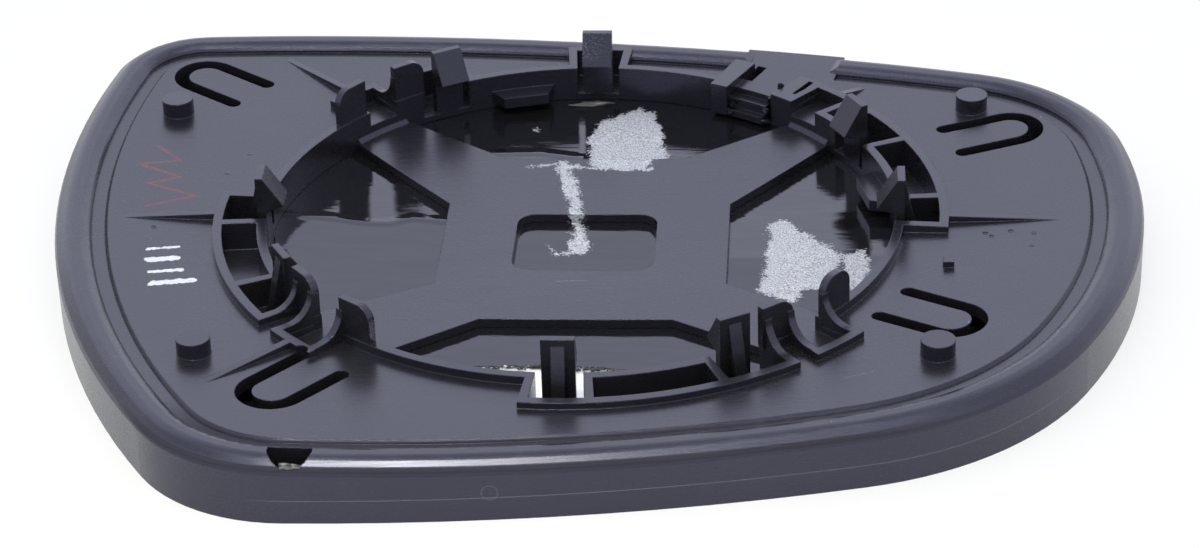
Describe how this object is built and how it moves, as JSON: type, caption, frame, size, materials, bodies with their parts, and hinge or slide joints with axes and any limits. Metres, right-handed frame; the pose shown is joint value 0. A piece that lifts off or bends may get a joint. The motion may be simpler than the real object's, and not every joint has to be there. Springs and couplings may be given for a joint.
{
  "type": "car door mirror glass",
  "caption": "Convex door mirror glass in a moulded back plate, with a round snap ring of hooks and fingers that presses onto the mirror's actuator.",
  "frame": {"origin": "middle of the snap ring, level with the dished back of the plate there", "axes": "+Z along the ring axis, away from the mirror face; +X along the plate's long side; +Y towards the longer, upper edge of the outline"},
  "size_m": [0.1677, 0.1347, 0.015],
  "materials": {
    "holder_plastic": "satin black moulded plastic, scuffed",
    "mirror": "silvered glass, its back seen only at the front of the ring",
    "film": "glossy black film, wrinkled"
  },
  "bodies": {
    "root": {"mirror_holder": "holder_plastic", "mirror_glass": "mirror", "backing_film": "film"}
  },
  "joints": []
}
